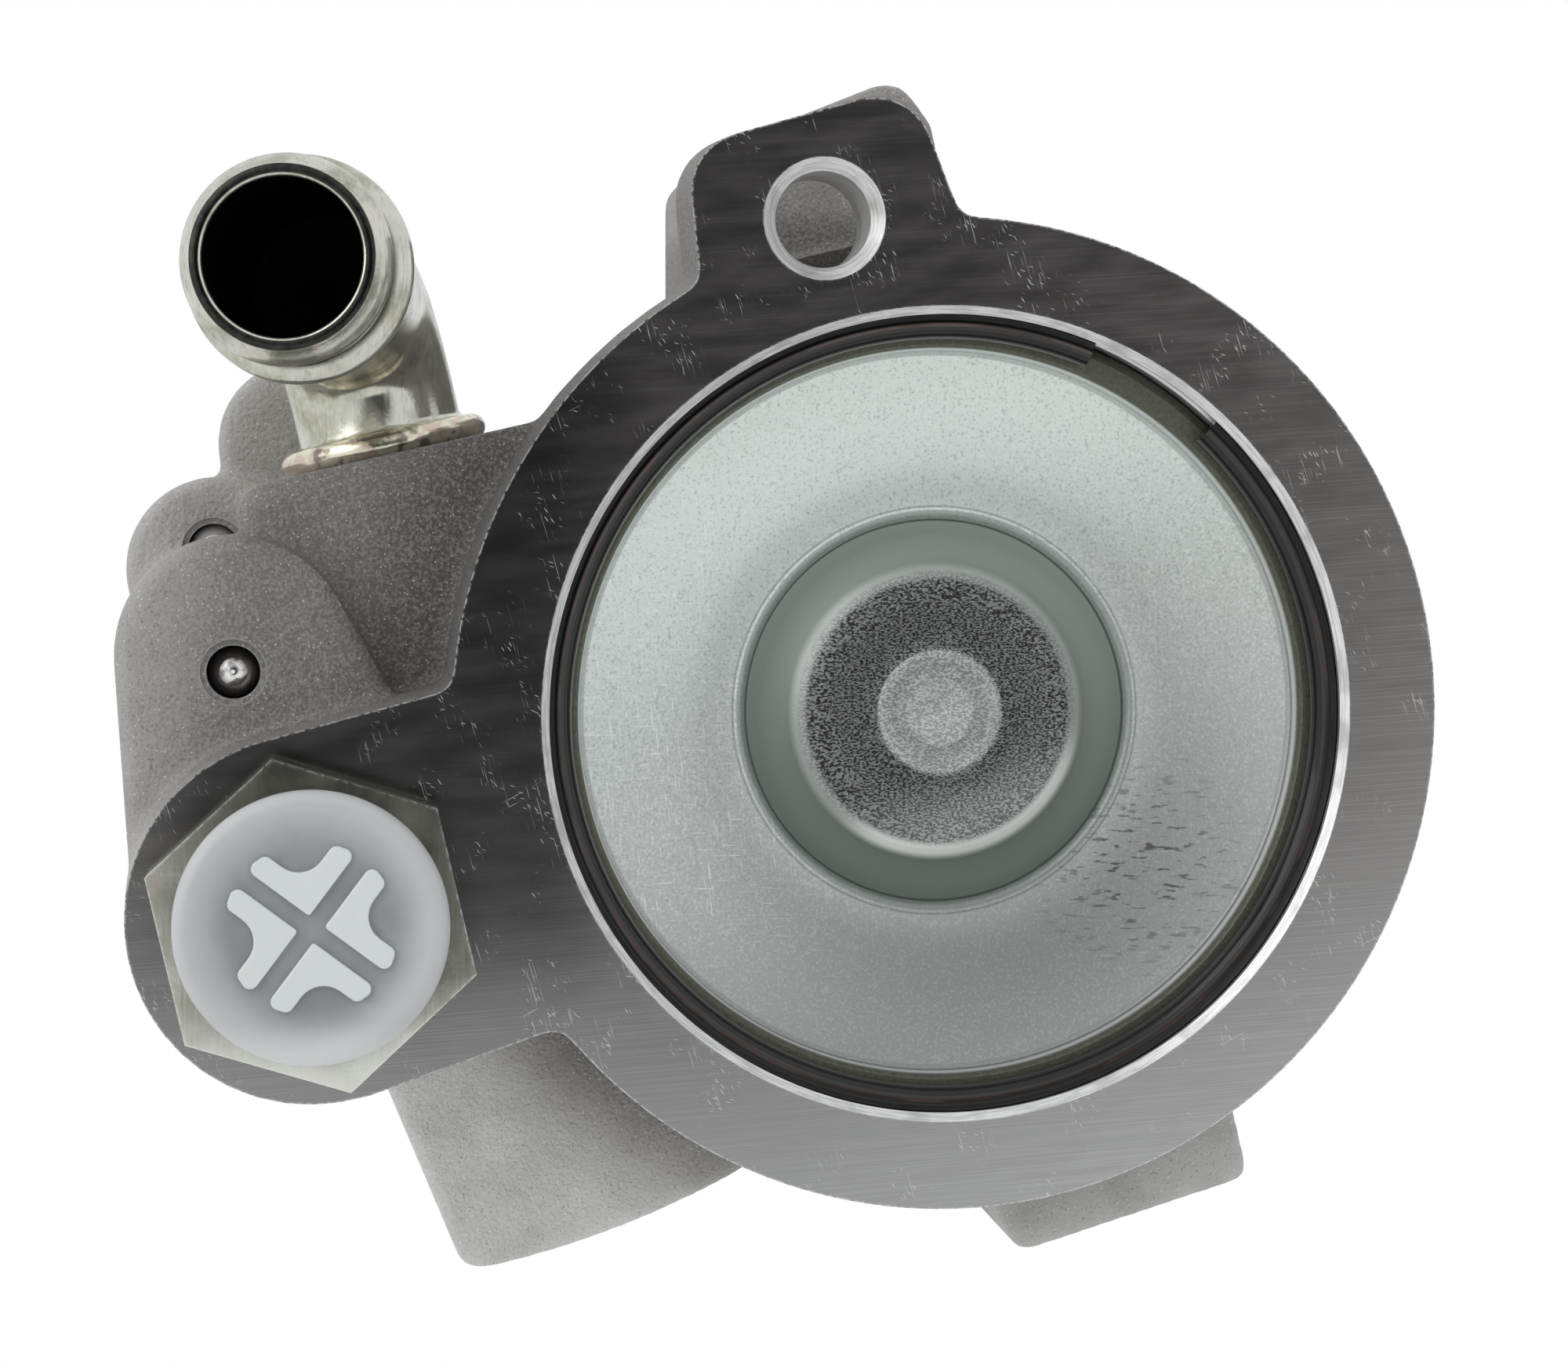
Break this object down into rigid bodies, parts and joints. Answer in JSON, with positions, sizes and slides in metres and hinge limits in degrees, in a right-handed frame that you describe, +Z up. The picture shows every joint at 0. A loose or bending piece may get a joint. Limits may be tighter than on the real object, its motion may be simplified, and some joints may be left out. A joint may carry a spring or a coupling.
{
  "type": "hydraulic vane pump",
  "caption": "Engine-driven hydraulic vane pump: cast body with ring-held stamped cover, suction elbow, hexagon outlet union with transit cap, sprung flow-control spool, bare shaft.",
  "frame": {"origin": "on the shaft axis in the plane of the front mounting face, at the front pilot", "axes": "+Y along the shaft towards the drive end, +Z up, +X to the right when looking at the rear cover"},
  "size_m": [0.1238, 0.1271, 0.1199],
  "materials": {
    "cast_aluminium": "bead-blasted casting with bright machined faces",
    "zinc_plate": "zinc-plated stamping, fine speckle and scratches",
    "yellow_zinc": "yellow-passivated zinc plate",
    "oiled_steel": "black oiled spring steel",
    "hardened_steel": "ground hardened steel",
    "polished_steel": "polished bearing steel",
    "machined_steel": "turned and ground steel",
    "spring_steel": "drawn spring wire",
    "black_rubber": "moulded oil-proof rubber",
    "bronze": "sintered bronze",
    "translucent_plastic": "translucent soft polyethylene"
  },
  "bodies": {
    "housing": {"pump_housing": "cast_aluminium", "end_cover": "zinc_plate", "cover_retaining_ring": "oiled_steel", "cover_o_ring": "black_rubber", "inlet_elbow": "yellow_zinc", "inlet_o_ring": "black_rubber", "outlet_union": "yellow_zinc", "outlet_union_o_ring": "black_rubber", "passage_ball_plug_1": "polished_steel", "passage_ball_plug_2": "polished_steel", "bearing_outer_race": "polished_steel", "bearing_circlip": "oiled_steel", "shaft_seal_case": "oiled_steel", "shaft_seal_lip": "black_rubber", "shaft_seal_garter_spring": "spring_steel", "front_bushing": "bronze", "rear_bushing": "bronze", "thrust_plate": "hardened_steel", "cam_ring": "hardened_steel", "dowel_pins": "machined_steel", "pressure_plate": "cast_aluminium", "pressure_plate_o_ring": "black_rubber", "pressure_plate_spring": "oiled_steel", "flow_control_spring": "spring_steel"},
    "rotor_group": {"drive_shaft": "machined_steel", "bearing_inner_race": "polished_steel", "rotor": "machined_steel", "rotor_snap_ring": "oiled_steel"},
    "ball_cage": {"bearing_cage": "bronze", "bearing_balls": "polished_steel"},
    "spool_group": {"flow_control_spool": "machined_steel", "relief_seat_plug": "bronze", "relief_spring": "spring_steel"},
    "relief_group": {"relief_ball": "polished_steel", "relief_guide": "machined_steel"},
    "transit_cap": {"outlet_transit_cap": "translucent_plastic"},
    "vane_1": {"vane_1": "hardened_steel"},
    "vane_2": {"vane_2": "hardened_steel"},
    "vane_3": {"vane_3": "hardened_steel"},
    "vane_4": {"vane_4": "hardened_steel"},
    "vane_5": {"vane_5": "hardened_steel"},
    "vane_6": {"vane_6": "hardened_steel"},
    "vane_7": {"vane_7": "hardened_steel"},
    "vane_8": {"vane_8": "hardened_steel"},
    "vane_9": {"vane_9": "hardened_steel"},
    "vane_10": {"vane_10": "hardened_steel"}
  },
  "joints": [
    {"name": "shaft_spin", "type": "hinge", "parent": "housing", "child": "rotor_group", "pos_m": [0, 0, 0], "axis": [0, 1, 0], "continuous": true},
    {"name": "cage_spin", "type": "hinge", "parent": "housing", "child": "ball_cage", "pos_m": [0, 0, 0], "axis": [0, 1, 0], "continuous": true},
    {"name": "spool_slide", "type": "slide", "parent": "housing", "child": "spool_group", "axis": [0, 1, 0], "range_m": [0, 0.008], "stiffness_N_per_m": 2500, "springref_m": -0.004, "deforming": ["flow_control_spring"]},
    {"name": "relief_lift", "type": "slide", "parent": "spool_group", "child": "relief_group", "axis": [0, 1, 0], "range_m": [0, 0.0008], "stiffness_N_per_m": 6000, "springref_m": -0.003, "deforming": ["relief_spring"]},
    {"name": "cap_pull", "type": "slide", "parent": "housing", "child": "transit_cap", "axis": [0, -1, 0], "range_m": [0, 0.02]},
    {"name": "vane_1_slide", "type": "slide", "parent": "rotor_group", "child": "vane_1", "axis": [0.9511, 0, 0.309], "range_m": [0, 0.0006]},
    {"name": "vane_2_slide", "type": "slide", "parent": "rotor_group", "child": "vane_2", "axis": [0.5878, 0, 0.809], "range_m": [0, 0.00205]},
    {"name": "vane_3_slide", "type": "slide", "parent": "rotor_group", "child": "vane_3", "axis": [0, 0, 1], "range_m": [0, 0.00295]},
    {"name": "vane_4_slide", "type": "slide", "parent": "rotor_group", "child": "vane_4", "axis": [-0.5878, 0, 0.809], "range_m": [0, 0.00205]},
    {"name": "vane_5_slide", "type": "slide", "parent": "rotor_group", "child": "vane_5", "axis": [-0.9511, 0, 0.309], "range_m": [0, 0.0006]},
    {"name": "vane_6_slide", "type": "slide", "parent": "rotor_group", "child": "vane_6", "axis": [-0.9511, 0, -0.309], "range_m": [0, 0.0006]},
    {"name": "vane_7_slide", "type": "slide", "parent": "rotor_group", "child": "vane_7", "axis": [-0.5878, 0, -0.809], "range_m": [0, 0.00205]},
    {"name": "vane_8_slide", "type": "slide", "parent": "rotor_group", "child": "vane_8", "axis": [0, 0, -1], "range_m": [0, 0.00295]},
    {"name": "vane_9_slide", "type": "slide", "parent": "rotor_group", "child": "vane_9", "axis": [0.5878, 0, -0.809], "range_m": [0, 0.00205]},
    {"name": "vane_10_slide", "type": "slide", "parent": "rotor_group", "child": "vane_10", "axis": [0.9511, 0, -0.309], "range_m": [0, 0.0006]}
  ],
  "couplings": [
    {"joint": "cage_spin", "follows": "shaft_spin", "ratio": 0.381}
  ]
}
